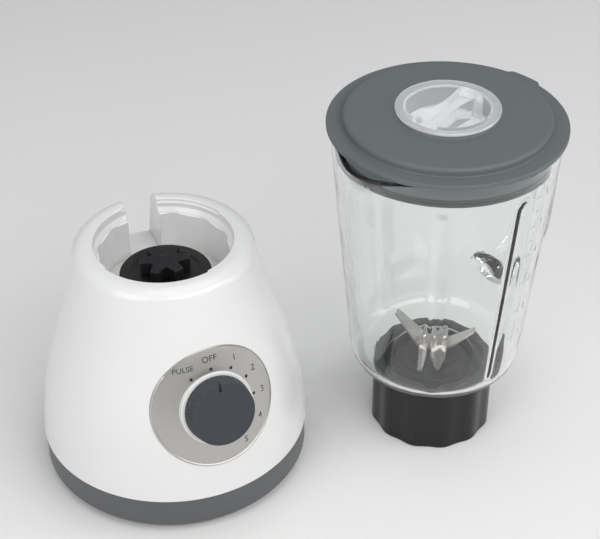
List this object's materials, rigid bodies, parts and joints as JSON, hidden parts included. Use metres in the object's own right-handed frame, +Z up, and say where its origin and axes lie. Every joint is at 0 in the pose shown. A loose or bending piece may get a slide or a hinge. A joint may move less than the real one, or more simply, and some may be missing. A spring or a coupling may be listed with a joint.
{
  "type": "countertop blender",
  "caption": "Countertop blender: round motor base with speed dial, and a glass jug with screw collar, blade unit, lid and clear filler cap standing beside it.",
  "frame": {"origin": "on the motor axis of the base, at table level", "axes": "+Z up along the motor axis, dial faces -Y, the jug stands on the +X side"},
  "size_m": [0.3666, 0.2104, 0.2422],
  "materials": {
    "housing_white": "glossy white moulded ABS",
    "cover_grey": "satin dark grey moulded plastic",
    "rubber_black": "matte black rubber",
    "plate_steel": "brushed stainless steel with printed dial marks",
    "knob_slate": "satin slate grey moulded plastic",
    "switch_plastic": "black moulded switch body",
    "screw_steel": "zinc-plated steel",
    "lamination": "stacked electrical steel",
    "copper": "enamelled copper wire",
    "bracket_alu": "die-cast aluminium",
    "carbon": "pressed carbon",
    "brass_part": "brass",
    "fan_plastic": "white nylon",
    "coupling_black": "black moulded nylon",
    "jug_glass": "clear pressed glass with a faint green tint",
    "collar_black": "satin black moulded plastic",
    "seal_rubber": "grey silicone rubber",
    "blade_steel": "ground stainless steel",
    "lid_slate": "matte slate grey moulded plastic",
    "cap_clear": "clear moulded plastic"
  },
  "bodies": {
    "base": {"base_housing": "housing_white", "base_cover": "cover_grey", "foot_pads": "rubber_black", "cord_grommet": "rubber_black", "cover_screws": "screw_steel", "dial_plate": "plate_steel", "switch_body": "switch_plastic", "stator_core": "lamination", "field_coils": "copper", "upper_bracket": "bracket_alu", "lower_bracket": "bracket_alu", "upper_bearing": "screw_steel", "lower_bearing": "screw_steel", "stator_screws": "screw_steel", "motor_mounts": "rubber_black", "motor_screws": "screw_steel", "carbon_brushes": "carbon", "brush_holders": "brass_part", "splash_disc": "rubber_black"},
    "rotor": {"motor_shaft": "screw_steel", "rotor_core": "lamination", "rotor_winding": "copper", "commutator": "copper", "cooling_fan": "fan_plastic", "drive_coupling": "coupling_black"},
    "knob": {"speed_knob": "knob_slate", "switch_shaft": "screw_steel"},
    "jug": {"glass_jug": "jug_glass", "jug_collar": "collar_black", "jug_gasket": "seal_rubber", "blade_carrier": "coupling_black", "blade_bush": "blade_steel", "shaft_seal": "seal_rubber"},
    "blades": {"blade_shaft": "blade_steel", "lower_blade": "blade_steel", "upper_blade": "blade_steel", "blade_nut": "blade_steel", "driven_coupling": "coupling_black"},
    "lid": {"lid": "lid_slate", "lid_seal": "seal_rubber"},
    "cap": {"filler_cap": "cap_clear"}
  },
  "joints": [
    {"name": "knob_turn", "type": "hinge", "parent": "base", "child": "knob", "pos_m": [0, -0.07645, 0.0893], "axis": [0, 0.9613, -0.2756], "range_deg": [-30, 150]},
    {"name": "motor_spin", "type": "hinge", "parent": "base", "child": "rotor", "pos_m": [0, 0, 0.1], "axis": [0, 0, 1], "continuous": true},
    {"name": "jug_lift", "type": "slide", "parent": "base", "child": "jug", "axis": [0, 0, 1], "range_m": [0, 0.2]},
    {"name": "blade_spin", "type": "hinge", "parent": "jug", "child": "blades", "pos_m": [0.1688, -0.0487, 0.05], "axis": [0, 0, 1], "continuous": true},
    {"name": "lid_lift", "type": "slide", "parent": "jug", "child": "lid", "axis": [0, 0, 1], "range_m": [0, 0.06]},
    {"name": "cap_lift", "type": "slide", "parent": "lid", "child": "cap", "axis": [0, 0, 1], "range_m": [0, 0.04]}
  ]
}
